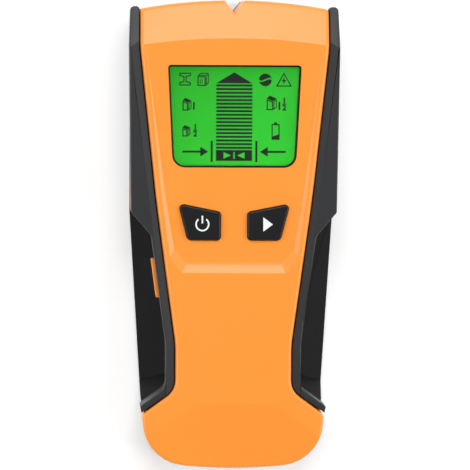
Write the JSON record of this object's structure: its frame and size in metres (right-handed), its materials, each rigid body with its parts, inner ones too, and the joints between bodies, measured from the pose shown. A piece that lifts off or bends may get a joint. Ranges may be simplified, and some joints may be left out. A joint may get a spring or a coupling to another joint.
{
  "type": "stud finder",
  "caption": "Hand-held stud, metal and mains-wire finder with a backlit display, two face keys, a side scan key, a marking notch, grips and a hinged battery door.",
  "frame": {"origin": "under the middle of the part, on the plane that its glide pads rest on", "axes": "+Z out of the face with the display, +Y towards the marking notch, +X to the right seen from the face"},
  "size_m": [0.074, 0.165, 0.0305],
  "materials": {
    "orange_plastic": "satin",
    "black_plastic": "matte",
    "soft_grip": "matte",
    "key_plastic": "satin",
    "felt": "matte",
    "steel": "satin",
    "clear_plastic": "gloss",
    "foam_rubber": "matte",
    "display_glass": "gloss",
    "light_guide": "gloss",
    "white_plastic": "satin",
    "part_plastic": "satin",
    "board": "satin",
    "capacitor_sleeve": "satin",
    "copper": "satin",
    "gold_plate": "satin",
    "battery_jacket": "satin",
    "nickel_plate": "satin",
    "red_insulation": "satin",
    "black_insulation": "satin"
  },
  "bodies": {
    "case": {"front_shell": "orange_plastic", "rear_shell": "black_plastic", "left_grip": "soft_grip", "right_grip": "soft_grip", "door_pin": "steel", "glide_pads": "felt", "case_screws": "steel", "display_window": "clear_plastic", "display_gasket": "foam_rubber", "display_glass": "display_glass", "display_diffuser": "light_guide", "backlight_leds": "light_guide", "display_frame": "white_plastic", "contact_strips": "foam_rubber", "power_switch": "part_plastic", "mode_switch": "part_plastic", "scan_switch": "part_plastic", "main_board": "board", "board_screws": "steel", "processor": "part_plastic", "amplifiers": "part_plastic", "capacitors": "capacitor_sleeve", "crystal": "steel", "buzzer": "part_plastic", "link_header": "part_plastic", "link_socket": "part_plastic", "link_pins": "gold_plate", "sensor_board": "board", "sensor_screws": "steel", "sensor_plates": "copper", "coil_bobbin": "white_plastic", "metal_coil": "copper", "mains_antenna": "copper", "battery": "battery_jacket", "battery_terminals": "nickel_plate", "battery_snap": "part_plastic", "snap_terminals": "nickel_plate", "red_lead": "red_insulation", "black_lead": "black_insulation", "battery_foam": "foam_rubber"},
    "power_key": {"power_button": "key_plastic", "power_plunger": "white_plastic"},
    "mode_key": {"mode_button": "key_plastic", "mode_plunger": "white_plastic"},
    "scan_key": {"scan_button": "orange_plastic", "scan_plunger": "white_plastic"},
    "door": {"battery_door": "black_plastic"}
  },
  "joints": [
    {"name": "power_press", "type": "slide", "parent": "case", "child": "power_key", "axis": [0, 0, -1], "range_m": [0, 0.001], "stiffness_N_per_m": 800, "springref_m": -0.0005},
    {"name": "mode_press", "type": "slide", "parent": "case", "child": "mode_key", "axis": [0, 0, -1], "range_m": [0, 0.001], "stiffness_N_per_m": 800, "springref_m": -0.0005},
    {"name": "scan_press", "type": "slide", "parent": "case", "child": "scan_key", "axis": [1, 0, 0], "range_m": [0, 0.001], "stiffness_N_per_m": 800, "springref_m": -0.0005},
    {"name": "door_swing", "type": "hinge", "parent": "case", "child": "door", "pos_m": [0, -0.0159, 0.003], "axis": [1, 0, 0], "range_deg": [0, 95]}
  ]
}
